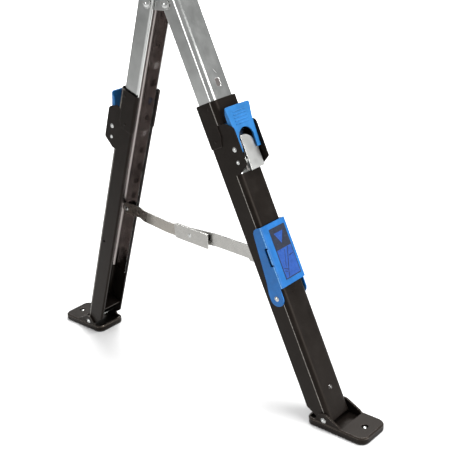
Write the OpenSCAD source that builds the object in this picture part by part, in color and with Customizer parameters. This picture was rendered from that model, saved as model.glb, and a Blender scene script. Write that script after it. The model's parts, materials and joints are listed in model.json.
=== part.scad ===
// Folding trestle leg pair: two telescoping splayed legs, a folding brace,
// pull-out height latches, swivel feet and a swing-out plank bracket.
// Frame: +Z up, +X across the two feet, +Y along the beam, floor at Z = 0.

/* [Legs] */
// Outer width of the lower leg channel
leg_w = 50; // [46:1:56]
// Depth of the lower leg channel, from web to open side
lower_d = 37; // [35:1:40]
// Sheet thickness of the lower channel
lower_t = 2; // [1.8:0.1:2.2]
// Sheet thickness of the upper channel
upper_t = 1.6; // [1.4:0.1:1.8]
// Angle of each leg from the vertical
splay = 21.6; // [21:0.1:22.2]
// Distance from the centre line to each foot pivot
foot_reach = 272.2; // [271:0.5:275]
// Pitch of the height holes
hole_pitch = 32; // [30:1:32]
// Number of height holes in each upper channel
hole_count = 9; // [7:1:9]

/* [Latch] */
// Height of the lever pivot above the foot pivot, along the leg
lever_pivot_s = 421.4; // [421:0.1:422]
// Height of the catch pivot above the foot pivot, along the leg
catch_pivot_s = 402.3; // [402:0.1:403]
// Lean of the lever plate away from the leg
lever_lean = 3.5; // [3:0.5:4]

/* [Feet] */
// Height of the foot pivot above the floor
pivot_h = 15.5; // [15.5:0.1:17]
// Half width of the foot
foot_half_w = 30; // [30:0.5:32]
// Reach of the foot beyond its pivot, outward
foot_out = 73; // [68:1:78]
// Reach of the foot behind its pivot, inward
foot_in = 33; // [32:1:36]

/* [Brace] */
// Height of each brace strip
strip_h = 20; // [16:1:20]
// Sheet thickness of a brace strip
strip_t = 2.5; // [2:0.1:2.5]
// Drop of the middle of the brace below its ends
brace_sag = 6.5; // [4:0.5:7]

/* [Plank bracket] */
// Lower edge of the bracket plate, along the leg
bracket_low = 209.6; // [209.6:0.1:212]
// Upper edge of the bracket plate, along the leg
bracket_high = 303.5; // [296:0.5:310]

/* [Hidden] */
$fn = 48;

// Colours
zinc = [0.70, 0.71, 0.70];
paint_black = [0.16, 0.14, 0.13];
lever_blue = [0.25, 0.58, 0.86];
bracket_blue = [0.20, 0.46, 0.74];
rubber_black = [0.07, 0.07, 0.07];

// Leg frame: X is outward from the web, Y is depth, Z is up along the leg,
// with the web's outer face at X = 0 and the foot pivot at Z = 0.
pivot_n = -9;
far = 200;
slip = 0.3;
run = 0.05;
head_gap = 0.3;
bend_r = 8;
lip_r = 3;
lip = 4.5;
half_w = leg_w / 2;
flange_in = half_w - lower_t;

// Lower channel
lower_top = 494;
window_low = 385;
window_high = 461;
window_deep = 8.5;
toe_r = 10;
toe_cut_s = 35;
ear_out = 20;
ear_root_n = 4;
ear_corner_r = 8;
stop_screw_s = 41;
stop_screw_r = 2.5;
stop_shelf_s = 42;
stop_plate_half_w = 16;
stop_plate_half_h = 8;

// Upper channel
upper_n0 = -lower_t - slip;
upper_n1 = -lower_d + lower_t + slip;
upper_half_w = flange_in - slip;
upper_inner_y = upper_half_w - upper_t;
upper_low = 115;
upper_top = 662;
top_hole_s = 519.5;
hole_w = 7.5;
hole_h = 11;
hole_r = 1.5;

// Collar
collar_t = 1.5;
collar_gap = 0.02;
collar_low = 430.5;
collar_high = 496.5;
collar_side_n = -13.6;
collar_corner_n = -8.3;
collar_corner_rise = 13.5;
collar_rivet_places = [[-12.7, 487], [-21.8, 440]];
collar_rivet_r = 1.5;

// Pins
lever_pivot_n = 7.3;
catch_pivot_n = 5.1;
pin_r = 3;
small_pin_r = 2.5;
head_pivot_s = 647;
head_pivot_n = -25;
bolt_r = 4;
brace_s = 255;
brace_n = -17;
bracket_s = 195.6;
bracket_n = -13.5;

// Lever, measured from its own pivot
lever_t = 2.2;
lever_arm_y = 22.4;
lever_top_y = 25.5;
lever_low = -6.6;
lever_high = 60;
lever_wide_from = 36;
lever_plate_n = 5;
lever_corner_r = 4;
arch_half_w = 15.5;
arch_top = 26.5;
rib_count = 5;
rib_low = 33;
rib_pitch = 4.6;
rib_r = 0.9;
rib_half_w = 13;

// Catch, measured from its own pivot
catch_t = 2.2;
catch_y0 = -8;
catch_y1 = 19.8;
catch_low = -17;
catch_high = 35;
catch_shoulder = 10;
catch_peak_y = -1;
catch_corner_r = 3;
catch_face_n = 5.4;
tooth_half_w = 3;

// Spring round the catch pin
spring_turns = 5;
spring_r = 4.3;
spring_wire = 0.8;
spring_y0 = -21.5;
spring_y1 = -10;
ring_steps = 14;
wire_sides = 8;

// Foot, measured from its own pivot
tread_t = 2.3;
shoe_top = -4;
shoe_floor = -pivot_h + tread_t + 2;
shoe_bevel = 2;
ear_y0 = half_w + 0.6;
ear_y1 = ear_y0 + 3;
ear_r = 11.5;
pocket_in = -28;
pocket_out = 31;
foot_corner = 13;
outer_screw_x = 54;
inner_screw_x = -20;
screw_r = 2;
screw_sink = 2.8;
tread_inset = 0.8;
groove_w = 3;
groove_x = -13;
groove_pitch = 12;
groove_count = 7;

// Head
head_plate_y0 = 15;
head_plate_t = 2.5;
head_web_z = 641;
head_half_l = 42;
head_lobe_r = 10.5;
head_rise = 27;
head_rivet_x = 14;
head_rivet_r = 2.5;
bush_r = 6;
washer_r = 8;
washer_t = 1.5;
nut_h = 5.5;
nut_r = 7;
bolt_end = 6.5;
saddle_t = 4;
saddle_half_l = 45;
saddle_half_w = 32;
saddle_hole_r = 3.3;
saddle_hole_x = 30;
saddle_hole_y = 22.5;
pivot_x = foot_reach - head_pivot_s * sin(splay) + (head_pivot_n - pivot_n) * cos(splay);
pivot_z = pivot_h + head_pivot_s * cos(splay) + (head_pivot_n - pivot_n) * sin(splay);

// Brace, measured from the middle of the pair
brace_x = foot_reach - brace_s * sin(splay) + (brace_n - pivot_n) * cos(splay);
brace_z = pivot_h + brace_s * cos(splay) + (brace_n - pivot_n) * sin(splay);
brace_len = sqrt(brace_x * brace_x + brace_sag * brace_sag);
brace_tilt = atan2(brace_sag, brace_x);
strip_end_y = -16;
middle_run = 54;
left_flat_run = 119;
right_flat_run = 128;
flat_end_y = -9;
end_run = 33;
right_strip_h = strip_h + 2;
right_strip_y = 1;
left_strip_y = -2;
sleeve_t = 2;
sleeve_gap = 0.1;
sleeve_half_h = 12.6;
sleeve_left = -34;
sleeve_right = 40;
sleeve_tilt = 3.5;
sleeve_corner_r = 5;

// Bracket
bracket_t = 2;
bracket_plate_n = 2.6;
bracket_flange_y = half_w + 0.8;
bracket_lobe_r = 12.5;
slot_n0 = -2.6;
slot_n1 = 1.5;
slot_low = 244;
slot_high = 272.6;
slot_hook_h = 2.6;
hook_from_y = 26.3;

// ---------- helpers ----------

// Arc points around c from angle a0 to a1
function arc(c, r, a0, a1, n = 8) =
  [for (i = [0:n]) c + r * [cos(a0 + (a1 - a0) * i / n), sin(a0 + (a1 - a0) * i / n)]];

// Rounded rectangle between two corners
module round_rect(x0, y0, x1, y1, r) {
  translate([x0 + r, y0]) square([x1 - x0 - 2 * r, y1 - y0]);
  translate([x0, y0 + r]) square([x1 - x0, y1 - y0 - 2 * r]);
  for (x = [x0 + r, x1 - r], y = [y0 + r, y1 - r])
    translate([x, y]) circle(r);
}

// Extrude an outline drawn in X and Z along Y, from y0 to y1
module along_y(y0, y1) {
  translate([0, y1, 0]) rotate([90, 0, 0]) linear_extrude(y1 - y0) children();
}

// Extrude an outline drawn in Y and Z along X, from x0 to x1
module along_x(x0, x1) {
  translate([x0, 0, 0]) rotate([90, 0, 90]) linear_extrude(x1 - x0) children();
}

// Round bar along Y
module bar_y(x, z, r, y0, y1) {
  translate([x, y1, z]) rotate([90, 0, 0]) cylinder(r = r, h = y1 - y0);
}

// Domed head of radius r and height h, standing on Z = 0
module dome(r, h) {
  ball = (r * r + h * h) / (2 * h);
  intersection() {
    translate([0, 0, h - ball]) sphere(ball);
    cylinder(r = r, h = h);
  }
}

// Domed head on a face at y, pointing away from Y = 0
module dome_y(x, z, y, r, h) {
  translate([x, y, z]) rotate([y > 0 ? -90 : 90, 0, 0]) dome(r, h);
}

// Section of a closed channel from n1 to n0: wide bends at the web, tight ones at the lips
module channel_section(n1, n0, hw, web_r, edge_r) {
  translate([n1 + edge_r, -hw]) square([n0 - web_r - n1 - edge_r, 2 * hw]);
  translate([n1, -hw + edge_r]) square([n0 - web_r - n1, 2 * (hw - edge_r)]);
  translate([n0 - web_r, -hw + web_r]) square([web_r, 2 * (hw - web_r)]);
  for (side = [-1, 1]) {
    translate([n1 + edge_r, side * (hw - edge_r)]) circle(edge_r);
    translate([n0 - web_r, side * (hw - web_r)]) circle(web_r);
  }
}

// Channel with return lips, open towards -X
module lipped_channel(n0, n1, hw, t, s0, s1) {
  translate([0, 0, s0]) linear_extrude(s1 - s0) difference() {
    channel_section(n1, n0, hw, bend_r, lip_r);
    channel_section(n1 + t, n0 - t, hw - t, bend_r - t, lip_r - t);
    translate([n1 - 1, -hw + lip]) square([t + 2, 2 * (hw - lip)]);
  }
}

// Place a leg-frame shape on the right (+1) or left (-1) leg
module on_leg(side) {
  rotate([0, 0, side > 0 ? 0 : 180])
    translate([foot_reach, 0, pivot_h])
      rotate([0, -splay, 0])
        translate([-pivot_n, 0, 0]) children();
}

// Place a foot-frame shape at the right (+1) or left (-1) foot pivot
module on_foot(side) {
  rotate([0, 0, side > 0 ? 0 : 180])
    translate([foot_reach, 0, pivot_h]) children();
}

// Turn a link frame, X from the middle to the end, onto the brace
module on_brace(side) {
  translate([0, 0, brace_z - brace_sag])
    rotate([0, 0, side > 0 ? 0 : 180])
      rotate([0, -brace_tilt, 0]) children();
}

// ---------- legs ----------

module ear_outline() {
  polygon(concat(
    [[-window_deep, window_low], [-0.5, window_low], [16, 393.5]],
    arc([ear_out - 4, 398], 4, -70, 0),
    [[ear_out, 445.5]],
    arc([ear_out - ear_corner_r, 447], ear_corner_r, 0, 55),
    [[ear_root_n, window_high], [-window_deep, window_high]]
  ));
}

module leg_pin_holes(extra) {
  bar_y(lever_pivot_n, lever_pivot_s, pin_r + extra, -far, far);
  bar_y(catch_pivot_n, catch_pivot_s, small_pin_r + extra, -far, far);
  bar_y(pivot_n, 0, pin_r + extra, -far, far);
  bar_y(bracket_n, bracket_s, small_pin_r + extra, -far, far);
}

module lower_channel() {
  color(paint_black) difference() {
    union() {
      difference() {
        lipped_channel(0, -lower_d, half_w, lower_t, -toe_r, lower_top);
        translate([-window_deep, -far, window_low])
          cube([far, 2 * far, window_high - window_low]);
      }
      for (y = [-half_w, flange_in]) along_y(y, y + lower_t) ear_outline();
    }
    leg_pin_holes(0);
    along_y(-far, far) polygon([
      [pivot_n - toe_r, 0], [pivot_n - toe_r, -far], [-far, -far],
      [-far, toe_cut_s], [-lower_d - 8, toe_cut_s]
    ]);
    along_y(-far, far) difference() {
      translate([-far, -far]) square([2 * far, far]);
      translate([pivot_n, 0]) circle(toe_r);
    }
    stop_screw_shank();
  }
}

// Hole or shank of the stop screw, through the web and the stop plate
module stop_screw_shank() {
  translate([-2 * lower_t - 1, 0, stop_screw_s])
    rotate([0, 90, 0]) cylinder(r = stop_screw_r, h = 2 * lower_t + 1);
}

// Plan of the stop shelf, narrower at the web to clear the bends
module shelf_outline() {
  edge = flange_in - 1;
  polygon([
    [-lower_d + 3, -edge], [-bend_r, -edge], [-1.7 * lower_t, -stop_plate_half_w],
    [-1.7 * lower_t, stop_plate_half_w], [-bend_r, edge], [-lower_d + 3, edge]
  ]);
}

module stop_plate() {
  color(paint_black) difference() {
    union() {
      along_x(-2 * lower_t, -lower_t)
        round_rect(-stop_plate_half_w, stop_screw_s - stop_plate_half_h,
          stop_plate_half_w, stop_screw_s + stop_plate_half_h, 2);
      translate([0, 0, stop_shelf_s]) linear_extrude(lower_t) shelf_outline();
    }
    stop_screw_shank();
  }
}

module stop_screw() {
  color(paint_black) {
    stop_screw_shank();
    translate([0, 0, stop_screw_s]) rotate([0, 90, 0]) dome(4, 2.4);
  }
}

module foot_pin() {
  color(zinc) {
    bar_y(pivot_n, 0, pin_r, -ear_y1 - head_gap, ear_y1 + head_gap);
    for (side = [-1, 1]) dome_y(pivot_n, 0, side * (ear_y1 + head_gap), 4.6, 2);
  }
}

module upper_channel() {
  color(zinc) difference() {
    lipped_channel(upper_n0, upper_n1, upper_half_w, upper_t, upper_low, upper_top);
    for (i = [0:hole_count - 1])
      along_x(upper_n0 - upper_t - 1, upper_n0 + 1)
        translate([0, top_hole_s - i * hole_pitch])
          round_rect(-hole_w / 2, -hole_h / 2, hole_w / 2, hole_h / 2, hole_r);
    bar_y(head_pivot_n, head_pivot_s, bolt_r + run, -far, far);
    bar_y(brace_n, brace_s, pin_r, -far, 0);
  }
}

module brace_pin() {
  inner = strip_end_y + strip_t + head_gap;
  color(zinc) {
    bar_y(brace_n, brace_s, pin_r, -upper_half_w, inner);
    translate([brace_n, inner, brace_s]) rotate([-90, 0, 0]) dome(5, 2.2);
  }
}

module brace_spacer() {
  color(zinc) difference() {
    bar_y(brace_n, brace_s, 6, -upper_inner_y, strip_end_y - head_gap);
    bar_y(brace_n, brace_s, pin_r, -far, far);
  }
}

module collar() {
  n1 = -lower_d - collar_t;
  color(paint_black) difference() {
    translate([0, 0, collar_low]) linear_extrude(collar_high - collar_low) difference() {
      channel_section(n1, collar_t, half_w + collar_t, bend_r + collar_t, lip_r + collar_t);
      channel_section(-lower_d - collar_gap, collar_gap, half_w + collar_gap, bend_r, lip_r);
      translate([n1 - 1, -half_w + lip]) square([collar_t + 2, 2 * (half_w - lip)]);
    }
    along_y(-far, far) polygon([
      [collar_side_n, collar_low - 1], [collar_side_n, collar_low + 1.5],
      [collar_corner_n, collar_low + collar_corner_rise], [collar_corner_n, window_high + slip],
      [far, window_high + slip], [far, collar_low - 1]
    ]);
    for (p = collar_rivet_places) bar_y(p[0], p[1], collar_rivet_r, -far, far);
  }
}

// Short rivets through the collar's sides only
module collar_rivets() {
  inner = half_w + 0.1;
  outer = half_w + collar_t;
  color(paint_black) for (p = collar_rivet_places, side = [-1, 1]) {
    dome_y(p[0], p[1], side * outer, 2.4, 0.9);
    bar_y(p[0], p[1], collar_rivet_r, side > 0 ? inner : -outer, side > 0 ? outer : -inner);
  }
}

// ---------- latch ----------

// Two short rivets, one in each ear, so that the catch can pass between them
module lever_pin() {
  inner = lever_arm_y - lever_t;
  color(zinc) for (side = [-1, 1]) {
    from_y = side > 0 ? inner : -half_w;
    bar_y(lever_pivot_n, lever_pivot_s, pin_r, from_y, from_y + half_w - inner);
    dome_y(lever_pivot_n, lever_pivot_s, side * half_w, 4, 1.8);
  }
}

module catch_pin() {
  color(zinc) {
    bar_y(catch_pivot_n, catch_pivot_s, small_pin_r, -half_w, half_w);
    for (y = [-half_w, half_w]) dome_y(catch_pivot_n, catch_pivot_s, y, 3.2, 1.5);
  }
}

// Front outline of the lever, with the arch between its arms
module lever_face() {
  difference() {
    polygon(concat(
      [[-lever_arm_y, lever_low], [lever_arm_y, lever_low], [lever_arm_y, lever_wide_from]],
      arc([lever_top_y - lever_corner_r, lever_high - lever_corner_r], lever_corner_r, 0, 90),
      arc([-lever_top_y + lever_corner_r, lever_high - lever_corner_r], lever_corner_r, 90, 180),
      [[-lever_arm_y, lever_wide_from]]
    ));
    translate([-arch_half_w, lever_low - 1])
      square([2 * arch_half_w, arch_top - arch_half_w - lever_low + 1]);
    translate([0, arch_top - arch_half_w]) circle(arch_half_w);
  }
}

// Side outline of a lever flange: a lobe about the pivot and a tapering wing
module lever_side() {
  polygon(concat(
    arc([0, 0], 6.5, 100, 250),
    [[lever_plate_n + lever_t, lever_low], [lever_plate_n + lever_t, lever_high - 4],
     [lever_plate_n, lever_high - 4], [lever_plate_n - 3, lever_high - 10],
     [lever_plate_n - 4, 44], [lever_plate_n - 5.5, 26]]
  ));
}

module lever() {
  color(lever_blue)
    translate([lever_pivot_n, 0, lever_pivot_s]) rotate([0, lever_lean, 0]) difference() {
      union() {
        along_x(lever_plate_n, lever_plate_n + lever_t) lever_face();
        for (side = [-1, 1]) intersection() {
          along_y(-far, far) lever_side();
          translate([-far, 0, 0]) along_x(0, 2 * far) polygon([
            [side * (lever_arm_y - lever_t), lever_low], [side * lever_arm_y, lever_low],
            [side * lever_arm_y, lever_wide_from], [side * lever_top_y, lever_high - lever_corner_r],
            [side * (lever_top_y - lever_t), lever_high - lever_corner_r],
            [side * (lever_arm_y - lever_t), lever_wide_from]
          ]);
        }
        for (i = [0:rib_count - 1])
          bar_y(lever_plate_n + lever_t - 0.2, rib_low + i * rib_pitch, rib_r, -rib_half_w, rib_half_w);
      }
      bar_y(0, 0, pin_r + run, -far, far);
    }
}

// Front outline of the catch: one small top corner and a long curve on the other side
module catch_face() {
  half = catch_y1 - catch_peak_y;
  rise = catch_high - catch_shoulder;
  polygon(concat(
    [[catch_y0, catch_low], [catch_y1, catch_low]],
    [for (a = [0:7.5:90]) [catch_peak_y + half * cos(a), catch_shoulder + rise * sin(a)]],
    arc([catch_y0 + catch_corner_r, catch_high - catch_corner_r], catch_corner_r, 90, 180)
  ));
}

module catch_side() {
  polygon(concat(
    arc([0, 0], 6, 90, 240),
    [[1, catch_low], [catch_face_n, catch_low], [catch_face_n, 20], [catch_face_n - catch_t, 20]]
  ));
}

module catch() {
  color(zinc)
    translate([catch_pivot_n, 0, catch_pivot_s]) difference() {
      union() {
        along_x(catch_face_n - catch_t, catch_face_n) catch_face();
        along_y(catch_y0, catch_y0 + catch_t) catch_side();
        along_y(catch_y1 - catch_t, catch_y1) catch_side();
        along_y(-tooth_half_w, tooth_half_w) polygon([
          [catch_face_n - 1, -10.5], [catch_face_n - 1, -15.5], [upper_n0 - catch_pivot_n + slip, -14.5],
          [upper_n0 - catch_pivot_n + slip, -11]
        ]);
      }
      bar_y(0, 0, small_pin_r + run, -far, far);
    }
}

// Coil spring round the catch pin, as one swept tube
module catch_spring() {
  rings = spring_turns * ring_steps;
  function ring_point(i, k) =
    let (a = 360 * i / ring_steps, b = 360 * k / wire_sides, r = spring_r + spring_wire * cos(b))
    [r * cos(a), spring_y0 + (spring_y1 - spring_y0) * i / rings + spring_wire * sin(b), r * sin(a)];
  points = [for (i = [0:rings], k = [0:wire_sides - 1]) ring_point(i, k)];
  walls = [for (i = [0:rings - 1], k = [0:wire_sides - 1])
    let (k2 = (k + 1) % wire_sides)
    [i * wire_sides + k, (i + 1) * wire_sides + k, (i + 1) * wire_sides + k2, i * wire_sides + k2]];
  ends = [
    [for (k = [0:wire_sides - 1]) k],
    [for (k = [wire_sides - 1:-1:0]) rings * wire_sides + k]
  ];
  color(zinc) translate([catch_pivot_n, 0, catch_pivot_s])
    polyhedron(points, concat(walls, ends), convexity = 6);
}

// ---------- feet ----------

module shoe_outline(inset) {
  half = foot_half_w - inset;
  round_rect(-foot_in + inset, -half, foot_out - inset, half, foot_corner - inset);
}

module ear_shape() {
  circle(ear_r);
  polygon([
    [-18, shoe_floor], [-17, shoe_top], [-10.6, 4.5], [0, ear_r], [5.2, 10.25],
    [25.5, -0.2], [28.5, -2.4], [pocket_out, -6], [pocket_out, shoe_floor]
  ]);
}

module foot_shoe() {
  shoe_low = -pivot_h + tread_t;
  color(paint_black) difference() {
    union() {
      difference() {
        hull() {
          for (inset = [0, shoe_bevel])
            translate([0, 0, shoe_low]) linear_extrude(shoe_top - shoe_bevel + inset - shoe_low)
              shoe_outline(inset, $fn = 32);
        }
        translate([pocket_in, -ear_y0, shoe_floor]) cube([pocket_out - pocket_in, 2 * ear_y0, far]);
      }
      for (y = [-ear_y1, ear_y0]) along_y(y, y + ear_y1 - ear_y0) ear_shape();
    }
    bar_y(0, 0, pin_r + run, -far, far);
    translate([outer_screw_x, 0, shoe_top - screw_sink]) cylinder(r = 5.4, h = far);
    for (x = [outer_screw_x, inner_screw_x]) translate([x, 0, -far]) cylinder(r = screw_r, h = far);
  }
}

module foot_tread() {
  color(rubber_black) difference() {
    translate([0, 0, -pivot_h]) linear_extrude(tread_t) shoe_outline(tread_inset);
    for (i = [0:groove_count - 1])
      translate([groove_x + i * groove_pitch, -far, -pivot_h - 1]) cube([groove_w, 2 * far, 2]);
    for (x = [outer_screw_x, inner_screw_x]) translate([x, 0, -far]) cylinder(r = screw_r, h = far);
  }
}

module foot_screws() {
  shank_low = -pivot_h + 1.4;
  color(zinc) {
    translate([outer_screw_x, 0, shank_low])
      cylinder(r = screw_r - run, h = shoe_top - screw_sink - shank_low);
    translate([outer_screw_x, 0, shoe_top - screw_sink]) dome(4.4, 2.4);
    translate([inner_screw_x, 0, shank_low]) cylinder(r = screw_r - run, h = shoe_floor - shank_low);
    translate([inner_screw_x, 0, shoe_floor]) dome(3.6, 1.6);
  }
}

// ---------- brace ----------

// Strip along X from the middle pin to the end pin. In plan it is flat at the middle, runs
// at a slant to flat_run and is joggled there so that its end lies along the leg.
module link(y_main, flat_run, height) {
  end_x = brace_len + strip_h / 2 - 1;
  joggle_x = brace_len - end_run;
  color(zinc) difference() {
    intersection() {
      translate([0, 0, -height / 2]) linear_extrude(height) polygon([
        [-height / 2, y_main], [middle_run, y_main], [flat_run, flat_end_y], [joggle_x, strip_end_y],
        [end_x, strip_end_y], [end_x, strip_end_y + strip_t], [joggle_x, strip_end_y + strip_t],
        [flat_run, flat_end_y + strip_t], [middle_run, y_main + strip_t], [-height / 2, y_main + strip_t]
      ]);
      along_y(-far, far) {
        translate([0, -height / 2]) square([brace_len, height]);
        circle(height / 2);
        translate([brace_len, 0]) circle(strip_h / 2 - 1);
      }
    }
    bar_y(brace_len, 0, pin_r + run, -far, far);
    bar_y(0, 0, pin_r + run, -far, far);
  }
}

module brace_right_link() {
  on_brace(1) link(right_strip_y, right_flat_run, right_strip_h);
}

module brace_left_link() {
  on_brace(-1) link(-left_strip_y - strip_t, left_flat_run, strip_h);
}

// Front outline of the sleeve, with one large lower corner
module sleeve_outline() {
  difference() {
    round_rect(sleeve_left, -sleeve_half_h, sleeve_right, sleeve_half_h, 2);
    difference() {
      translate([sleeve_left - 1, -sleeve_half_h - 1]) square(sleeve_corner_r + 1);
      translate([sleeve_left + sleeve_corner_r, -sleeve_half_h + sleeve_corner_r]) circle(sleeve_corner_r);
    }
  }
}

// Plate in front of both strips, folded over the left strip along its top edge
module brace_sleeve() {
  front = left_strip_y - sleeve_gap;
  fold_depth = strip_t + 0.5 + sleeve_gap;
  color(zinc) translate([0, 0, brace_z - brace_sag]) rotate([0, sleeve_tilt, 0]) difference() {
    union() {
      along_y(front - sleeve_t, front) sleeve_outline();
      translate([sleeve_left + 1, front - 0.5, sleeve_half_h - sleeve_t])
        cube([sleeve_right - sleeve_left - 2, fold_depth, sleeve_t]);
    }
    bar_y(0, 0, pin_r, -far, far);
  }
}

module brace_middle_rivet() {
  front = left_strip_y - sleeve_gap - sleeve_t;
  color(zinc) translate([0, 0, brace_z - brace_sag]) {
    bar_y(0, 0, pin_r, front, left_strip_y + strip_t);
    dome_y(0, 0, front, 3.6, 0.7);
  }
}

// ---------- plank bracket ----------

module bracket_outline() {
  polygon([
    [bracket_plate_n + bracket_t + 1, bracket_low], [bracket_plate_n + bracket_t + 1, bracket_high],
    [-6, bracket_high], [-10.5, bracket_high - 2], [-13, bracket_high - 6], [-14, bracket_high - 13],
    [-22, 220], [bracket_n - bracket_lobe_r + 0.2, 205], [bracket_n - bracket_lobe_r, bracket_s],
    [bracket_n + bracket_lobe_r, bracket_s], [-1, bracket_low]
  ]);
  translate([bracket_n, bracket_s]) circle(bracket_lobe_r);
}

// Slot along each bend, with a short hook onto the plate at both ends
module bracket_slots() {
  for (side = [-1, 1]) {
    flange_y = side > 0 ? bracket_flange_y - 1 : -bracket_flange_y - bracket_t - 1;
    hook_y = side > 0 ? hook_from_y : -far;
    translate([slot_n0, flange_y, slot_low]) cube([slot_n1 - slot_n0, bracket_t + 2, slot_high - slot_low]);
    for (s = [slot_low, slot_high - slot_hook_h])
      translate([slot_n0, hook_y, s]) cube([far, far - hook_from_y, slot_hook_h]);
  }
}

module support_bracket() {
  outer = bracket_flange_y + bracket_t;
  plate = bracket_plate_n;
  color(bracket_blue) difference() {
    intersection() {
      translate([0, 0, bracket_s - 20]) linear_extrude(bracket_high - bracket_s + 20) difference() {
        round_rect(-lower_d, -outer, plate + bracket_t, outer, 3);
        round_rect(-lower_d - 10, -bracket_flange_y, plate, bracket_flange_y, 1);
        translate([-lower_d - 1, -far]) square([4, 2 * far]);
      }
      along_y(-far, far) bracket_outline();
    }
    bar_y(bracket_n, bracket_s, small_pin_r + run, -far, far);
    bracket_slots();
  }
}

module bracket_label() {
  face = bracket_plate_n + bracket_t;
  color(rubber_black) along_x(face, face + 0.3) round_rect(-13.5, 218, 21, 295.5, 1);
}

module bracket_rivets() {
  outer = bracket_flange_y + bracket_t + head_gap;
  color(zinc) for (side = [-1, 1]) {
    from_y = side > 0 ? flange_in : -outer;
    bar_y(bracket_n, bracket_s, small_pin_r, from_y, from_y + outer - flange_in);
    dome_y(bracket_n, bracket_s, side * outer, 4.2, 1.8);
  }
}

// ---------- head ----------

module head_side() {
  for (side = [-1, 1]) translate([side * pivot_x, pivot_z]) circle(head_lobe_r);
  translate([-pivot_x, pivot_z - head_lobe_r]) square([2 * pivot_x, 2 * head_lobe_r]);
  translate([-pivot_x - head_lobe_r, pivot_z]) square([2 * (pivot_x + head_lobe_r), head_rise]);
  translate([-head_half_l, head_web_z - 3]) square([2 * head_half_l, head_plate_t + 3]);
}

module head_bolt_holes(r) {
  for (side = [-1, 1]) bar_y(side * pivot_x, pivot_z, r, -far, far);
}

module head_rivet_holes() {
  for (side = [-1, 1])
    translate([side * head_rivet_x, 0, head_web_z - 1]) cylinder(r = head_rivet_r, h = 20);
}

module head_bracket() {
  outer = head_plate_y0 + head_plate_t;
  color(zinc) difference() {
    union() {
      for (y = [-outer, head_plate_y0]) along_y(y, y + head_plate_t) head_side();
      translate([-head_half_l, -outer, head_web_z]) cube([2 * head_half_l, 2 * outer, head_plate_t]);
    }
    head_bolt_holes(bolt_r);
    head_rivet_holes();
  }
}

module head_saddle() {
  color(zinc) difference() {
    translate([0, 0, head_web_z + head_plate_t]) linear_extrude(saddle_t)
      round_rect(-saddle_half_l, -saddle_half_w, saddle_half_l, saddle_half_w, 6);
    head_rivet_holes();
    for (x = [-saddle_hole_x, saddle_hole_x], y = [-saddle_hole_y, saddle_hole_y])
      translate([x, y, 0]) cylinder(r = saddle_hole_r, h = 2 * head_web_z);
  }
}

module head_rivets() {
  color(zinc) for (side = [-1, 1]) translate([side * head_rivet_x, 0, head_web_z]) {
    cylinder(r = head_rivet_r, h = head_plate_t + saddle_t);
    mirror([0, 0, 1]) dome(4.5, 2);
  }
}

module head_bushes() {
  inner = head_plate_y0 + head_plate_t;
  outer = upper_inner_y - head_gap;
  color(zinc) difference() {
    for (x = [-pivot_x, pivot_x], side = [-1, 1])
      bar_y(x, pivot_z, bush_r, side > 0 ? inner : -outer, side > 0 ? outer : -inner);
    head_bolt_holes(bolt_r);
  }
}

module head_washers() {
  inner = upper_half_w + head_gap;
  outer = inner + washer_t;
  color(zinc) difference() {
    for (x = [-pivot_x, pivot_x], side = [-1, 1])
      bar_y(x, pivot_z, washer_r, side > 0 ? inner : -outer, side > 0 ? outer : -inner);
    head_bolt_holes(bolt_r);
  }
}

module head_bolts() {
  face = upper_half_w + head_gap + washer_t;
  color(zinc) for (x = [-pivot_x, pivot_x]) {
    bar_y(x, pivot_z, bolt_r, -face, face + bolt_end);
    dome_y(x, pivot_z, -face, 6.5, 3.6);
  }
}

module head_nuts() {
  face = upper_half_w + head_gap + washer_t;
  color(zinc) difference() {
    for (x = [-pivot_x, pivot_x])
      translate([x, face + nut_h, pivot_z]) rotate([90, 0, 0]) cylinder(r = nut_r, h = nut_h, $fn = 6);
    head_bolt_holes(bolt_r);
  }
}

head_bracket();
head_saddle();
head_rivets();
head_bushes();
head_bolts();
head_washers();
head_nuts();
on_leg(-1) upper_channel();  // left_upper_channel
on_leg(-1) brace_pin();  // left_brace_pin
on_leg(-1) brace_spacer();  // left_brace_spacer
on_leg(-1) lower_channel();  // left_lower_channel
on_leg(-1) collar();  // left_collar
on_leg(-1) collar_rivets();  // left_collar_rivets
on_leg(-1) lever_pin();  // left_lever_pin
on_leg(-1) catch_pin();  // left_catch_pin
on_leg(-1) catch_spring();  // left_catch_spring
on_leg(-1) stop_plate();  // left_stop_plate
on_leg(-1) stop_screw();  // left_stop_screw
on_leg(-1) foot_pin();  // left_foot_pin
on_leg(-1) lever();  // left_lever
on_leg(-1) catch();  // left_catch
on_foot(-1) foot_shoe();  // left_foot_shoe
on_foot(-1) foot_tread();  // left_foot_tread
on_foot(-1) foot_screws();  // left_foot_screws
on_leg(1) upper_channel();  // right_upper_channel
on_leg(1) brace_pin();  // right_brace_pin
on_leg(1) brace_spacer();  // right_brace_spacer
on_leg(1) lower_channel();  // right_lower_channel
on_leg(1) collar();  // right_collar
on_leg(1) collar_rivets();  // right_collar_rivets
on_leg(1) lever_pin();  // right_lever_pin
on_leg(1) catch_pin();  // right_catch_pin
on_leg(1) catch_spring();  // right_catch_spring
on_leg(1) stop_plate();  // right_stop_plate
on_leg(1) stop_screw();  // right_stop_screw
on_leg(1) foot_pin();  // right_foot_pin
on_leg(1) lever();  // right_lever
on_leg(1) catch();  // right_catch
on_foot(1) foot_shoe();  // right_foot_shoe
on_foot(1) foot_tread();  // right_foot_tread
on_foot(1) foot_screws();  // right_foot_screws
brace_left_link();
brace_sleeve();
brace_middle_rivet();
brace_right_link();
on_leg(1) support_bracket();
on_leg(1) bracket_label();
on_leg(1) bracket_rivets();
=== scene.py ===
"""Looks for a folding trestle leg frame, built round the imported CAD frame.

Lengths are in metres, in the row frame: +Z up, +X across the feet, +Y along the beam.
A leg frame has X outward from the web, Y along the depth and Z up along the leg.
"""
import json
import math

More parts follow.
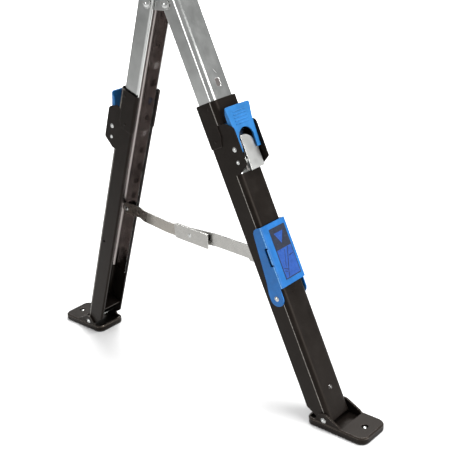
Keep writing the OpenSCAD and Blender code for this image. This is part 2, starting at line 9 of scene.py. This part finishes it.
import bmesh
import bpy
from mathutils import Matrix, Vector

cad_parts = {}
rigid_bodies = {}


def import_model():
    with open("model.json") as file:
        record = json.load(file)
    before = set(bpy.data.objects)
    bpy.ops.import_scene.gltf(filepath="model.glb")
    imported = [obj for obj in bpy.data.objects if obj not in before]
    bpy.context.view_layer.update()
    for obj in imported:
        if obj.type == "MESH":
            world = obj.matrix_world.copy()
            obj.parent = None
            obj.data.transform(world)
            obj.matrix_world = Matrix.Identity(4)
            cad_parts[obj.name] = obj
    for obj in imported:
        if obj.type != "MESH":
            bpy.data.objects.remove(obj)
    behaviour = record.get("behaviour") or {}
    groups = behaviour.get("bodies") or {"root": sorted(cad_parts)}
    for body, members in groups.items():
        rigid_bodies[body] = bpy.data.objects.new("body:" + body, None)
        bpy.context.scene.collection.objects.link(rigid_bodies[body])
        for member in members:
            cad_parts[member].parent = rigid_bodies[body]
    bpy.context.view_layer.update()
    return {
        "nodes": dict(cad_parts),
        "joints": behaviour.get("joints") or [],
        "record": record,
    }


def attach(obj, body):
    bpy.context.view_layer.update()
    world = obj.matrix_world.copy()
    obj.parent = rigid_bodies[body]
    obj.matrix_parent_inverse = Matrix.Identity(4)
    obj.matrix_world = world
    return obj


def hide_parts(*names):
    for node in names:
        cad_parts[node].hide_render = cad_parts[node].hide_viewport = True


MM = 0.001

# Rounding of edges, in millimetres, and the angles that count as sharp or flat, in degrees
USUAL_EDGE = 0.35
SMALL_EDGE = 0.15
RIM_WIDTH = 1.0
SHORTEST_EDGE = 0.2
SHARP_ANGLE = 38
FLAT_ANGLE = 0.6
SHADING_ANGLE = 50
COIL_SHADING_ANGLE = 70

# Vertices closer than this are joined, in metres: in a CAD mesh, and in a finished piece
CAD_MERGE = 2e-6
PIECE_MERGE = 1e-6

# A face folds over itself when its triangles exceed its outline by this area plus this share
FOLD_AREA = 2e-7
FOLD_SHARE = 0.02

# Parts of the wanted radius that are tried in turn, and whether the rounding stops at its neighbours
ROUNDING_TRIES = ((1.0, False), (0.6, False), (0.35, False), (1.0, True))

# Places in a piece's list of materials
EDGE_MATERIAL = 1
CHOSEN_MATERIAL = 2

# Camera
AZIMUTH = 44.18
ELEVATION = 22.25
ROLL = -4.905
DISTANCE = 1.38
TARGET = (0.0606, 0.0167, 0.2674)
LENS = 70.72
SENSOR = 36.0

# Floor and lights: name, azimuth, elevation, distance, width, height, power, point aimed at, spread
FLOOR_REACH = 20
FLOOR_GREY = 0.72
WORLD_STRENGTH = 0.56
SOFTBOXES = (
    ("softbox_left", -14, 12, 2.6, 0.5, 1.2, 7, TARGET, 120),
    ("softbox_right", 100, 12, 2.6, 1.7, 1.6, 36, TARGET, 150),
    ("softbox_top", 120, 76, 2.6, 1.2, 1.2, 20, (0.10, 0.15, 0.0), 90),
    ("softbox_floor", 224, 75, 4.0, 3.0, 3.0, 200, (-2.3, 2.4, 0.0), 80),
)

# Colours of paint, plating and print, and of painted highlights and painted shade
BARE_STEEL = (0.30, 0.29, 0.28)
BLACK = (0.0065, 0.0050, 0.0042)
BLACK_EDGE = (0.020, 0.016, 0.014)
# Painted highlight along the outward bends of the black channels and collars
BLACK_BEND_HIGHLIGHT = (0.42, 0.40, 0.37)
BLACK_SHEEN = (1.0, 0.86, 0.74)
LEVER_BLUE = (0.016, 0.130, 0.345)
LEVER_EDGE = (0.06, 0.25, 0.60)
BRACKET_BLUE = (0.009, 0.115, 0.355)
BRACKET_EDGE = (0.05, 0.17, 0.44)
# Painted highlight along the outward bends of the bracket
BRACKET_BEND_HIGHLIGHT = (0.20, 0.42, 0.70)
ZINC = (0.50, 0.51, 0.50)
ZINC_EDGE = (0.70, 0.70, 0.68)
# Darker, browner zinc for a channel's inner faces: painted shade
ZINC_INSIDE_SHADE = (0.33, 0.300, 0.290)
STRIP = (0.36, 0.354, 0.336)
# Darker zinc for the left brace link: painted shade
SHADED_STRIP = (0.29, 0.272, 0.245)
STRIP_EDGE = (0.62, 0.62, 0.60)
SATIN = (0.56, 0.565, 0.55)
SATIN_EDGE = (0.78, 0.78, 0.76)
SCRIBED = (0.85, 0.85, 0.84)
RUBBER_DARK = (0.012, 0.012, 0.012)
RUBBER_LIGHT = (0.030, 0.029, 0.028)
RUBBER_DUST = (0.08, 0.075, 0.07)
SCUFFED_FILM = (0.45, 0.47, 0.50)
LABEL_DARK = (0.012, 0.016, 0.03)
LABEL_EDGE = (0.02, 0.03, 0.06)
LABEL_BLUE = (0.014, 0.060, 0.255)
LABEL_INK = (0.010, 0.014, 0.03)

# Grain of the two paints, in millimetres, and how much of a worn edge is bare
POWDER_GRAIN = 0.7
ENAMEL_GRAIN = 1.4
BLACK_WEAR = 0.36
BLUE_WEAR = 0.34

# Label marks, in the right leg's frame in millimetres: places are (depth, height)
LABEL_BORDER = 1.4
PRINT_THICKNESS = 0.04
PRINT_OVERLAP = 0.03
STROKE_THICKNESS = 0.08
PANEL_TOP = 262.3
MARK_TRIANGLE = ((-6.4, 287.0), (13.2, 287.0), (3.0, 269.8))
MARK_STROKES = (
    ((11.4, 261.7), (-6.1, 219.6), 1.3),
    ((18.3, 249.6), (9.0, 248.4), 1.1),
    ((3.8, 259.8), (-5.0, 235.6), 0.8),
    ((-9.8, 234.4), (-2.5, 230.7), 1.3),
    ((-9.8, 230.6), (-4.5, 227.9), 1.1),
)

# Scribed line on each upper channel, in the leg frame: start and end as (depth, height), and width
SCRIBED_LINE = ((3.0, 532.5), (-0.5, 538.5), 0.7)

for leftover in list(bpy.data.objects):
    bpy.data.objects.remove(leftover)
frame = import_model()
NODES = frame["nodes"]
JOINTS = {joint["name"]: joint for joint in frame["joints"]}
SLOTS = {part["node"]: part["material_slot"] for part in frame["record"]["subparts"]}
BODY = {node: body for body, nodes in frame["record"]["behaviour"]["bodies"].items() for node in nodes}
WORLD = Matrix.Identity(4)


# ---------------------------------------------------------------- camera, lights, floor

def direction(azimuth, elevation):
    """Unit vector from the object towards that azimuth and elevation, in degrees."""
    a, e = math.radians(azimuth), math.radians(elevation)
    return Vector((math.sin(a) * math.cos(e), -math.cos(a) * math.cos(e), math.sin(e)))


def add_camera():
    """Camera that looks at the target from the given direction, rolled about its own axis."""
    data = bpy.data.cameras.new("camera")
    data.lens = LENS
    data.sensor_width = SENSOR
    data.clip_start = 0.01
    data.clip_end = 100
    camera = bpy.data.objects.new("camera", data)
    bpy.context.scene.collection.objects.link(camera)
    back = direction(AZIMUTH, ELEVATION)
    camera.location = Vector(TARGET) + back * DISTANCE
    look = (-back).to_track_quat("-Z", "Y").to_matrix().to_4x4()
    turn = look @ Matrix.Rotation(math.radians(ROLL), 4, "Z")
    camera.rotation_euler = turn.to_euler()
    bpy.context.scene.camera = camera


def add_softbox(name, azimuth, elevation, distance, width, height, power, aim, spread):
    """Rectangular light that faces the point it is aimed at."""
    data = bpy.data.lights.new(name, "AREA")
    data.shape = "RECTANGLE"
    data.size = width
    data.size_y = height
    data.energy = power
    data.spread = math.radians(spread)
    light = bpy.data.objects.new(name, data)
    bpy.context.scene.collection.objects.link(light)
    towards = direction(azimuth, elevation)
    light.location = Vector(aim) + towards * distance
    light.rotation_euler = (-towards).to_track_quat("-Z", "Y").to_euler()


def add_world():
    world = bpy.data.worlds.new("studio")
    bpy.context.scene.world = world
    world.use_nodes = True
    background = world.node_tree.nodes["Background"]
    background.inputs["Color"].default_value = (1, 1, 1, 1)
    background.inputs["Strength"].default_value = WORLD_STRENGTH


def add_floor():
    mesh = bpy.data.meshes.new("floor")
    signs = ((-1, -1), (1, -1), (1, 1), (-1, 1))
    corners = [(x * FLOOR_REACH, y * FLOOR_REACH, 0) for x, y in signs]
    mesh.from_pydata(corners, [], [(0, 1, 2, 3)])
    floor = bpy.data.objects.new("floor", mesh)
    bpy.context.scene.collection.objects.link(floor)
    material, shader, _ = new_material("floor_paper")
    shader.inputs["Base Color"].default_value = (FLOOR_GREY, FLOOR_GREY, FLOOR_GREY, 1)
    shader.inputs["Roughness"].default_value = 0.9
    shader.inputs["Specular IOR Level"].default_value = 0.1
    mesh.materials.append(material)


def add_studio():
    """Even white surroundings, four softboxes and a pale floor."""
    add_world()
    for softbox in SOFTBOXES:
        add_softbox(*softbox)
    add_floor()
    bpy.context.scene.view_settings.view_transform = "Standard"


# ---------------------------------------------------------------- materials

def new_material(name):
    material = bpy.data.materials.new(name)
    material.use_nodes = True
    tree = material.node_tree
    shader = tree.nodes["Principled BSDF"]
    return material, shader, tree


class Pattern:
    """Short ways to wire procedural patterns, in millimetres of the object's own frame."""

    def __init__(self, tree):
        self.tree = tree
        place = tree.nodes.new("ShaderNodeTexCoord")
        self.mapping = tree.nodes.new("ShaderNodeMapping")
        self.mapping.inputs["Scale"].default_value = [1 / MM] * 3
        tree.links.new(place.outputs["Object"], self.mapping.inputs["Vector"])

    def noise(self, size, detail=3.0, rough=0.55, vector=None):
        """Noise whose features are about that many millimetres wide."""
        node = self.tree.nodes.new("ShaderNodeTexNoise")
        node.inputs["Scale"].default_value = 1 / size
        node.inputs["Detail"].default_value = detail
        node.inputs["Roughness"].default_value = rough
        self.tree.links.new((vector or self.mapping).outputs["Vector"], node.inputs["Vector"])
        return node.outputs["Fac"]

    def stretched(self, stretch):
        """A mapping that squeezes the pattern along each axis by a factor."""
        node = self.tree.nodes.new("ShaderNodeMapping")
        node.inputs["Scale"].default_value = stretch
        self.tree.links.new(self.mapping.outputs["Vector"], node.inputs["Vector"])
        return node

    def cells(self, size):
        """Random colours in cells about that many millimetres wide."""
        node = self.tree.nodes.new("ShaderNodeTexVoronoi")
        node.inputs["Scale"].default_value = 1 / size
        self.tree.links.new(self.mapping.outputs["Vector"], node.inputs["Vector"])
        return node.outputs["Color"]

    def ramp(self, source, stops):
        """Colours along a value, from pairs of a place and a colour."""
        node = self.tree.nodes.new("ShaderNodeValToRGB")
        ramp = node.color_ramp
        while len(ramp.elements) < len(stops):
            ramp.elements.new(0.5)
        for element, (place, colour) in zip(ramp.elements, stops):
            element.position = place
            element.color = (*colour, 1)
        self.tree.links.new(source, node.inputs["Fac"])
        return node.outputs["Color"]

    def mix(self, amount, first, second, mode="MIX"):
        node = self.tree.nodes.new("ShaderNodeMix")
        node.data_type = "RGBA"
        node.blend_type = mode
        for socket, value in (("Factor", amount), ("A", first), ("B", second)):
            target = [i for i in node.inputs if i.name == socket and i.enabled][0]
            if isinstance(value, (float, tuple)):
                target.default_value = value
            else:
                self.tree.links.new(value, target)
        return [o for o in node.outputs if o.enabled][0]

    def spread(self, source, low, high, start=0.3, stop=0.7):
        """Carries the stretch of a value from start to stop over to low to high."""
        node = self.tree.nodes.new("ShaderNodeMapRange")
        node.inputs["From Min"].default_value = start
        node.inputs["From Max"].default_value = stop
        node.inputs["To Min"].default_value = low
        node.inputs["To Max"].default_value = high
        self.tree.links.new(source, node.inputs["Value"])
        return node.outputs["Result"]

    def calculate(self, operation, first, second):
        node = self.tree.nodes.new("ShaderNodeMath")
        node.operation = operation
        for socket, value in zip(node.inputs, (first, second)):
            if isinstance(value, float):
                socket.default_value = value
            else:
                self.tree.links.new(value, socket)
        return node.outputs["Value"]

    def both(self, first, second):
        return self.calculate("MULTIPLY", first, second)

    def bend_line(self, start, stop):
        """1 on an outward bend's strip of painted highlight, where the normal is between two angles from
        the sides, else 0.
        """
        place = self.tree.nodes.new("ShaderNodeTexCoord")
        split = self.tree.nodes.new("ShaderNodeSeparateXYZ")
        self.tree.links.new(place.outputs["Normal"], split.inputs["Vector"])
        side = self.calculate("ABSOLUTE", split.outputs["Y"], 0.0)
        after = self.calculate("LESS_THAN", side, math.cos(math.radians(start)))
        before = self.calculate("GREATER_THAN", side, math.cos(math.radians(stop)))
        outward = self.calculate("GREATER_THAN", split.outputs["X"], 0.0)
        level = self.calculate("ABSOLUTE", split.outputs["Z"], 0.0)
        along = self.calculate("LESS_THAN", level, 0.05)
        return self.both(self.both(after, before), self.both(outward, along))

    def bump(self, shader, height, distance, strength, under=None):
        """Relief of that many millimetres, laid over the relief given as under."""
        node = self.tree.nodes.new("ShaderNodeBump")
        node.inputs["Strength"].default_value = strength
        node.inputs["Distance"].default_value = distance * MM
        self.tree.links.new(height, node.inputs["Height"])
        if under is not None:
            self.tree.links.new(under, node.inputs["Normal"])
        self.tree.links.new(node.outputs["Normal"], shader.inputs["Normal"])
        return node.outputs["Normal"]


def zinc(name, tone, rough, along=2, worn=False):
    """Zinc-plated sheet: a faint patchy plating, rolling lines along one axis, small dents."""
    material, shader, tree = new_material(name)
    pattern = Pattern(tree)
    lines = [0.9, 0.9, 0.9]
    lines[along] = 0.012
    streak = pattern.noise(1.0, 2.0, 0.6, pattern.stretched(lines))
    patch = pattern.noise(22, 4.0, 0.6)
    plate = pattern.cells(3.2)
    dark = tuple(0.86 * c for c in tone)
    light = tuple(min(1.0, 1.12 * c) for c in tone)
    colour = pattern.ramp(patch, [(0.30, dark), (0.52, tone), (0.75, light)])
    colour = pattern.mix(0.10, colour, pattern.ramp(plate, [(0.0, dark), (1.0, light)]), "MULTIPLY")
    colour = pattern.mix(pattern.spread(streak, 0.0, 0.35), colour, (*dark, 1))
    tree.links.new(colour, shader.inputs["Base Color"])
    level = rough - 0.08 if worn else rough
    tree.links.new(pattern.spread(patch, level - 0.04, level + 0.05), shader.inputs["Roughness"])
    shader.inputs["Metallic"].default_value = 1.0
    first = pattern.bump(shader, streak, 0.012, 0.5)
    pattern.bump(shader, pattern.noise(9, 2.0), 0.05, 0.35, first)
    return material


def painted(name, colour, rough, grain, worn=0.0, bare_and_highlight=BARE_STEEL, coat=0.0, gloss=0.3,
            tint=(1, 1, 1), bend=None):
    """Baked paint on steel: a fine grain, patches of sheen, dust, chips on worn edges, and a painted
    highlight along outward bends; one colour serves for both the chips and the highlight.
    """
    material, shader, tree = new_material(name)
    pattern = Pattern(tree)
    patch = pattern.noise(30, 4.0, 0.6)
    dust = pattern.noise(1.6, 5.0, 0.75)
    dark = tuple(0.80 * c for c in colour)
    light = tuple(min(1.0, 1.25 * c + 0.002) for c in colour)
    shade = pattern.ramp(patch, [(0.3, dark), (0.5, colour), (0.75, light)])
    dusty = tuple(0.9 * c + 0.02 for c in colour)
    shade = pattern.mix(pattern.spread(dust, 0.0, 0.22, 0.55, 0.78), shade, (*dusty, 1))
    level = pattern.spread(patch, rough - 0.06, rough + 0.08)
    if worn:
        chip = pattern.noise(2.2, 5.0, 0.7)
        mask = pattern.spread(chip, 0.0, 1.0, 1 - worn, 1.04 - worn)
        shade = pattern.mix(mask, shade, (*bare_and_highlight, 1))
        tree.links.new(pattern.spread(mask, 0.0, 0.85, 0.0, 1.0), shader.inputs["Metallic"])
    # Painted highlight: a bright hatched line along outward bends, on the faces turned to +X.
    if bend:
        bend_highlight = pattern.bend_line(*bend)
        hatch = pattern.spread(pattern.noise(1.0, 2.0, 0.6), 0.25, 1.0, 0.42, 0.58)
        shade = pattern.mix(pattern.both(bend_highlight, hatch), shade, (*bare_and_highlight, 1))
    tree.links.new(shade, shader.inputs["Base Color"])
    tree.links.new(level, shader.inputs["Roughness"])
    shader.inputs["Coat Weight"].default_value = coat
    shader.inputs["Specular IOR Level"].default_value = gloss
    shader.inputs["Specular Tint"].default_value = (*tint, 1)
    shader.inputs["Coat Roughness"].default_value = 0.25
    fine = pattern.bump(shader, pattern.noise(grain, 2.0, 0.5), 0.030, 0.6)
    pattern.bump(shader, pattern.noise(12, 2.0), 0.06, 0.3, fine)
    return material


def rubber(name):
    """Dark moulded rubber: worn patches, a coarse grain and dust in it."""
    material, shader, tree = new_material(name)
    pattern = Pattern(tree)
    patch = pattern.noise(14, 4.0, 0.6)
    grain = pattern.noise(0.5, 4.0, 0.7)
    colour = pattern.ramp(patch, [(0.3, RUBBER_DARK), (0.7, RUBBER_LIGHT)])
    dusty = pattern.mix(pattern.spread(grain, 0.0, 0.4, 0.5, 0.8), colour, (*RUBBER_DUST, 1))
    tree.links.new(dusty, shader.inputs["Base Color"])
    tree.links.new(pattern.spread(patch, 0.72, 0.88), shader.inputs["Roughness"])
    pattern.bump(shader, grain, 0.05, 0.8)
    return material


def film(name, colour, rough=0.38):
    """Printed plastic film: slightly uneven ink, orange peel and fine scuffs."""
    material, shader, tree = new_material(name)
    pattern = Pattern(tree)
    ink = pattern.noise(6, 5.0, 0.7)
    scuff = pattern.noise(1.0, 3.0, 0.8, pattern.stretched((1.2, 0.25, 0.9)))
    dark = tuple(0.82 * c for c in colour)
    light = tuple(min(1.0, 1.18 * c + 0.003) for c in colour)
    shade = pattern.ramp(ink, [(0.3, dark), (0.7, light)])
    shade = pattern.mix(pattern.spread(scuff, 0.0, 0.18, 0.6, 0.8), shade, (*SCUFFED_FILM, 1))
    tree.links.new(shade, shader.inputs["Base Color"])
    tree.links.new(pattern.spread(scuff, rough - 0.06, rough + 0.14), shader.inputs["Roughness"])
    shader.inputs["Specular IOR Level"].default_value = 0.2
    pattern.bump(shader, ink, 0.02, 0.5)
    return material


LOOKS = {
    "black_paint": (
        painted("black_powder", BLACK, 0.33, POWDER_GRAIN, gloss=0.11, tint=BLACK_SHEEN),
        painted("black_powder_edge", BLACK_EDGE, 0.24, POWDER_GRAIN, worn=BLACK_WEAR, gloss=0.6,
                tint=BLACK_SHEEN),
    ),
    # The first material paints a bright highlight along outward bends
    "black_bends": (
        painted("black_powder_bent", BLACK, 0.33, POWDER_GRAIN, gloss=0.11, tint=BLACK_SHEEN,
                bend=(7, 14), bare_and_highlight=BLACK_BEND_HIGHLIGHT),
        painted("black_powder_bent_edge", BLACK_EDGE, 0.30, POWDER_GRAIN, worn=BLACK_WEAR,
                tint=BLACK_SHEEN),
    ),
    "black_shoe": (
        painted("black_casting", BLACK, 0.34, POWDER_GRAIN, gloss=0.11, tint=BLACK_SHEEN),
        painted("black_casting_edge", BLACK_EDGE, 0.24, POWDER_GRAIN, worn=BLACK_WEAR, gloss=0.6,
                tint=BLACK_SHEEN),
        painted("black_casting_bevel", BLACK, 0.20, POWDER_GRAIN, gloss=0.6, tint=BLACK_SHEEN),
    ),
    "black_screw": (
        painted("black_screw", BLACK_EDGE, 0.18, POWDER_GRAIN, worn=0.42, gloss=0.9),
    ),
    "lever_blue": (
        painted("lever_enamel", LEVER_BLUE, 0.38, ENAMEL_GRAIN, coat=0.08, gloss=0.2),
        painted("lever_enamel_edge", LEVER_EDGE, 0.34, ENAMEL_GRAIN, worn=BLUE_WEAR),
    ),
    # The first material paints a bright highlight along outward bends
    "bracket_bends": (
        painted("bracket_enamel_bent", BRACKET_BLUE, 0.36, ENAMEL_GRAIN, coat=0.08, gloss=0.2,
                bend=(16, 42), bare_and_highlight=BRACKET_BEND_HIGHLIGHT),
        painted("bracket_enamel_bent_edge", BRACKET_EDGE, 0.32, ENAMEL_GRAIN, worn=BLUE_WEAR),
    ),
    "zinc": (
        zinc("zinc_sheet", ZINC, 0.22),
        zinc("zinc_edge", ZINC_EDGE, 0.28, worn=True),
    ),
    "zinc_channel": (
        zinc("zinc_outside", ZINC, 0.20),
        zinc("zinc_channel_edge", ZINC_EDGE, 0.28, worn=True),
        # Inner faces: darker zinc as painted shade
        zinc("zinc_inside_shaded", ZINC_INSIDE_SHADE, 0.18),
    ),
    "zinc_strip": (
        zinc("zinc_strip", STRIP, 0.26, along=0),
        zinc("zinc_strip_edge", STRIP_EDGE, 0.28, worn=True),
    ),
    # Left brace link: darker zinc as painted shade
    "zinc_shaded_strip": (
        zinc("zinc_shaded_strip", SHADED_STRIP, 0.28, along=0),
        zinc("zinc_shaded_strip_edge", STRIP_EDGE, 0.28, worn=True),
    ),
    "zinc_catch": (
        zinc("zinc_satin", SATIN, 0.34),
        zinc("zinc_satin_edge", SATIN_EDGE, 0.30, worn=True),
    ),
    "rubber": (rubber("tread_rubber"), rubber("tread_rubber_edge")),
    "label": (film("label_dark", LABEL_DARK), film("label_edge", LABEL_EDGE)),
}


# ---------------------------------------------------------------- frames of the legs

def side_name(side):
    """A side is +1 on the right and -1 on the left."""
    return "right" if side > 0 else "left"


def leg_frame(side):
    """World matrix of a leg frame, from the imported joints."""
    name = side_name(side)
    up = -Vector(JOINTS[f"{name}_extend"]["axis"]).normalized()
    depth = Vector((0, side, 0))
    out = depth.cross(up)
    origin = Vector(JOINTS[f"{name}_foot_swivel"]["pos_m"])
    matrix = Matrix((out, depth, up)).transposed().to_4x4()
    matrix.translation = origin
    return matrix


def upright_frame(side):
    """Frame of a foot: its origin is the foot pivot and X points outward."""
    matrix = Matrix.Rotation(0 if side > 0 else math.pi, 4, "Z")
    matrix.translation = Vector(JOINTS[f"{side_name(side)}_foot_swivel"]["pos_m"])
    return matrix


def box_in(node, matrix):
    """Lowest and highest corner of a CAD node in another frame."""
    inverse = matrix.inverted()
    points = [inverse @ v.co for v in NODES[node].data.vertices]
    low = Vector([min(p[i] for p in points) for i in range(3)])
    high = Vector([max(p[i] for p in points) for i in range(3)])
    return low, high


# ---------------------------------------------------------------- pieces

def add_piece(name, mesh, matrix, body, materials):
    """Shows a mesh with its materials, riding a body."""
    piece = bpy.data.objects.new(name, mesh)
    bpy.context.scene.collection.objects.link(piece)
    for material in materials:
        mesh.materials.append(material)
    piece.matrix_world = matrix
    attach(piece, body)
    return piece


def smooth(mesh, angle):
    """Smooth shading in which large flat faces stay flat and their rounded edges blend into them."""
    mesh.polygons.foreach_set("use_smooth", [True] * len(mesh.polygons))
    around = [[] for _ in mesh.vertices]
    for face in mesh.polygons:
        for corner in face.vertices:
            around[corner].append((face.normal.copy(), face.area))
    limit = math.cos(math.radians(angle))
    normals = []
    for face in mesh.polygons:
        for corner in face.vertices:
            near = [normal * area for normal, area in around[corner] if normal.dot(face.normal) > limit]
            total = sum(near, Vector())
            normals.append(total.normalized() if total.length > 0 else Vector((0, 0, 1)))
    mesh.normals_split_custom_set(normals)


def merged_copy(node, matrix):
    """A CAD node's mesh in another frame, with its split vertices and flat faces joined."""
    shape = bmesh.new()
    shape.from_mesh(NODES[node].data)
    shape.transform(matrix.inverted())
    bmesh.ops.remove_doubles(shape, verts=shape.verts, dist=CAD_MERGE)
    flat = math.radians(FLAT_ANGLE)
    bmesh.ops.dissolve_limit(shape, angle_limit=flat, verts=shape.verts, edges=shape.edges)
    return shape


def is_sound(shape):
    """False when a face folds over itself, so that its triangles cover more than its outline."""
    covered = [0.0] * len(shape.faces)
    shape.faces.index_update()
    for corners in shape.calc_loop_triangles():
        a, b, c = (corner.vert.co for corner in corners)
        covered[corners[0].face.index] += (b - a).cross(c - a).length / 2
    for face in shape.faces:
        area = covered[face.index]
        if abs(area - face.calc_area()) >= FOLD_AREA + FOLD_SHARE * area:
            return False
    return True


def is_sharp(edge):
    """True on outward edges, without the tiny ones of rib ends."""
    if not (edge.is_manifold and edge.is_convex):
        return False
    return edge.calc_length() > SHORTEST_EDGE * MM and edge.calc_face_angle() > math.radians(SHARP_ANGLE)


def round_edges(shape, radius, chosen=None, segments=2):
    """Rounds sharp edges, all or the chosen ones, as far as the faces allow it."""
    for share, clamp in ROUNDING_TRIES:
        trial = shape.copy()
        edges = [e for e in trial.edges if is_sharp(e) and (chosen is None or chosen(e))]
        if edges:
            bmesh.ops.bevel(trial, geom=edges, offset=share * radius * MM, segments=segments, profile=0.5,
                            affect="EDGES", clamp_overlap=clamp, material=EDGE_MATERIAL)
        if is_sound(trial):
            shape.free()
            return trial
        trial.free()
    return shape


def finish_shape(name, shape, matrix, body, looks, angle=SHADING_ANGLE):
    """Turns a bmesh in a given frame into a shown piece."""
    bmesh.ops.remove_doubles(shape, verts=shape.verts, dist=PIECE_MERGE)
    mesh = bpy.data.meshes.new(name)
    shape.to_mesh(mesh)
    shape.free()
    smooth(mesh, angle)
    return add_piece(name, mesh, matrix, body, looks)


def is_inside(face):
    """True on the inner faces of a channel, which get darker zinc as painted shade."""
    middle = face.calc_center_median()
    inward = -face.normal.y if middle.y > 0 else face.normal.y
    return inward > 0.3 or (face.normal.x < -0.5 and middle.x > 0)


def is_shoe_bevel(face):
    """True on the sloping faces round the top of a shoe."""
    return 0.2 < face.normal.z < 0.95 and face.calc_center_median().z > -7 * MM


def is_hole_edge(edge):
    """True near the middle of the web's outer face: round the height holes and at the web's ends."""
    middle = (edge.verts[0].co + edge.verts[1].co) / 2
    outer = max(face.normal.x for face in edge.link_faces) > 0.99
    return outer and abs(middle.y) < 5 * MM


def refine(node, matrix, width=USUAL_EDGE, look=None, chosen_faces=None, rims=None, angle=SHADING_ANGLE):
    """Shows a CAD node as a piece with rounded edges, and another material on the chosen faces, such as
    painted shade inside a channel.
    """
    shape = merged_copy(node, matrix)
    if rims:
        shape = round_edges(shape, RIM_WIDTH, rims, segments=3)
    shape = round_edges(shape, width)
    for face in shape.faces:
        if chosen_faces and face.material_index == 0 and chosen_faces(face):
            face.material_index = CHOSEN_MATERIAL
    looks = LOOKS[look or SLOTS[node]]
    piece = finish_shape(f"{node}_finish", shape, matrix, BODY[node], looks, angle)
    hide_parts(node)


def plate_piece(name, outlines, depth_from, depth_to, matrix, body, looks):
    """Flat prints on a face: outlines in Y and Z of the frame, given a small thickness along X."""
    shape = bmesh.new()
    for outline in outlines:
        back = [shape.verts.new((depth_from * MM, y * MM, z * MM)) for y, z in outline]
        front = [shape.verts.new((depth_to * MM, y * MM, z * MM)) for y, z in outline]
        shape.faces.new(back[::-1])
        shape.faces.new(front)
        for i in range(len(outline)):
            j = (i + 1) % len(outline)
            shape.faces.new((back[i], back[j], front[j], front[i]))
    bmesh.ops.recalc_face_normals(shape, faces=shape.faces)
    finish_shape(name, shape, matrix, body, looks)


def stroke(start, end, width):
    """Outline of a straight line of some width."""
    a, b = Vector(start), Vector(end)
    across = (b - a).orthogonal().normalized() * width / 2
    return [tuple(a - across), tuple(b - across), tuple(b + across), tuple(a + across)]


def rectangle(y0, z0, y1, z1):
    """Outline of an upright rectangle from its lowest to its highest corner."""
    return [(y0, z0), (y1, z0), (y1, z1), (y0, z1)]


def add_label_prints():
    """Generic marks on the label: a panel, a triangle and a few strokes."""
    low, high = box_in("bracket_label", leg_frame(1))
    face = high.x / MM
    blue = (film("label_blue", LABEL_BLUE, 0.30),)
    dark = (film("label_ink", LABEL_INK, 0.34),)
    left = low.y / MM + LABEL_BORDER
    right = high.y / MM - LABEL_BORDER
    panel = rectangle(left, low.z / MM + LABEL_BORDER, right, PANEL_TOP)
    plate_piece("label_prints", [panel, MARK_TRIANGLE], face, face + PRINT_THICKNESS, leg_frame(1),
                "plank_bracket", blue)
    strokes = [stroke(start, end, width) for start, end, width in MARK_STROKES]
    plate_piece("label_strokes", strokes, face + PRINT_OVERLAP, face + STROKE_THICKNESS, leg_frame(1),
                "plank_bracket", dark)


def add_scribed_marks():
    """A short bright scribed line on the web of each upper channel, above its top hole."""
    bright = (zinc("zinc_scribed", SCRIBED, 0.30),)
    for side in (-1, 1):
        name = side_name(side)
        face = box_in(f"{name}_upper_channel", leg_frame(side))[1].x / MM
        plate_piece(f"{name}_scribed_marks", [stroke(*SCRIBED_LINE)], face, face + PRINT_THICKNESS,
                    leg_frame(side), f"{name}_upper", bright)


def add_head():
    for node in ("head_bracket", "head_saddle", "head_washers", "head_nuts", "head_bushes"):
        refine(node, WORLD)
    for node in ("head_rivets", "head_bolts", "brace_middle_rivet"):
        refine(node, WORLD, SMALL_EDGE)


def add_leg(side):
    """A telescoping leg with its latch, its foot and the small parts of both."""
    leg = side_name(side)
    tilted = leg_frame(side)
    upright = upright_frame(side)
    # The inner faces of the upper channel get darker zinc as painted shade
    refine(f"{leg}_upper_channel", tilted, look="zinc_channel", chosen_faces=is_inside, rims=is_hole_edge)
    refine(f"{leg}_catch", tilted, look="zinc_catch")
    for part in ("stop_plate", "lever"):
        refine(f"{leg}_{part}", tilted)
    # The lower channel and the collar carry a painted highlight along their bends
    for part in ("lower_channel", "collar"):
        refine(f"{leg}_{part}", tilted, look="black_bends")
    for part in ("brace_pin", "brace_spacer", "collar_rivets", "lever_pin", "catch_pin", "foot_pin"):
        refine(f"{leg}_{part}", tilted, SMALL_EDGE)
    refine(f"{leg}_catch_spring", tilted, SMALL_EDGE, angle=COIL_SHADING_ANGLE)
    refine(f"{leg}_stop_screw", tilted, SMALL_EDGE, look="black_screw")
    refine(f"{leg}_foot_screws", upright, SMALL_EDGE)
    refine(f"{leg}_foot_tread", upright)
    refine(f"{leg}_foot_shoe", upright, look="black_shoe", chosen_faces=is_shoe_bevel)


def add_brace():
    for node in ("brace_right_link", "brace_sleeve"):
        refine(node, WORLD, look="zinc_strip")
    # The left link gets darker zinc as painted shade
    refine("brace_left_link", WORLD, look="zinc_shaded_strip")


def add_plank_bracket():
    # The bracket carries a painted highlight along its bends
    refine("support_bracket", leg_frame(1), look="bracket_bends")
    refine("bracket_label", leg_frame(1), SMALL_EDGE)
    refine("bracket_rivets", leg_frame(1), SMALL_EDGE)
    add_label_prints()


add_camera()
add_studio()
add_head()
for leg_side in (-1, 1):
    add_leg(leg_side)
add_brace()
add_plank_bracket()
add_scribed_marks()
